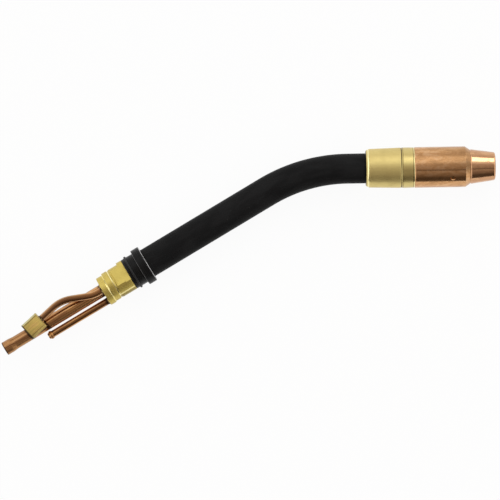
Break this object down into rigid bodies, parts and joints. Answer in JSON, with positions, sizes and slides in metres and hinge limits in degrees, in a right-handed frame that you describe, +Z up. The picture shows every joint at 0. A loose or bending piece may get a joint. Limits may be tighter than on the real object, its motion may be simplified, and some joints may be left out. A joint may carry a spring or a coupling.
{
  "type": "mig welding torch neck",
  "caption": "Water-cooled MIG torch neck: bent black sleeve, brass head, copper jacketed nozzle with draw-off tip, diffuser and contact tip, handle collar, rear tubes",
  "frame": {"origin": "on the axis of the handle collar, in the rear face of its flange, against which the handle stops", "axes": "+X forward along the collar's axis; the neck bends towards -Y in the plane Z = 0; +Z up, as the neck lies on its side on a table"},
  "size_m": [0.3852, 0.0935, 0.0302],
  "materials": {
    "sleeve": "satin black heat-proof insulation",
    "collar": "turned black plastic",
    "rubber": "matt black rubber",
    "tube_copper": "drawn copper, slightly tarnished",
    "nozzle_copper": "polished copper with soft mottling",
    "brass": "turned brass, satin",
    "braze": "brazing metal",
    "steel": "spring steel wire",
    "resin": "brown insulating resin"
  },
  "bodies": {
    "neck": {"neck_sleeve": "sleeve", "tube_spacers": "resin", "wire_gas_tube": "tube_copper", "wire_liner": "steel", "liner_bush": "brass", "inner_supply_tube": "tube_copper", "inner_return_tube": "tube_copper", "mount_collar": "collar", "collar_ring": "rubber", "manifold": "brass", "tube_plate": "brass", "supply_tube": "tube_copper", "return_tube": "tube_copper", "power_block": "brass", "braze_fillets": "braze", "head_body": "brass", "nozzle_insulator": "resin", "head_seals": "rubber", "insulator_seals": "rubber", "nozzle_ring": "brass", "jacket_seal": "rubber"},
    "nozzle": {"nozzle_jacket": "nozzle_copper", "jacket_inner_sleeve": "nozzle_copper"},
    "tip": {"nozzle_tip": "nozzle_copper"},
    "diffuser": {"gas_diffuser": "brass"},
    "contact": {"contact_tip": "nozzle_copper"}
  },
  "joints": [
    {"name": "jacket_draw", "type": "slide", "parent": "neck", "child": "nozzle", "axis": [0.866, -0.5, 0], "range_m": [0, 0.062]},
    {"name": "tip_draw", "type": "slide", "parent": "nozzle", "child": "tip", "axis": [0.866, -0.5, 0], "range_m": [0, 0.026]},
    {"name": "diffuser_draw", "type": "slide", "parent": "neck", "child": "diffuser", "axis": [0.866, -0.5, 0], "range_m": [0, 0.064]},
    {"name": "contact_draw", "type": "slide", "parent": "diffuser", "child": "contact", "axis": [0.866, -0.5, 0], "range_m": [0, 0.012]}
  ]
}
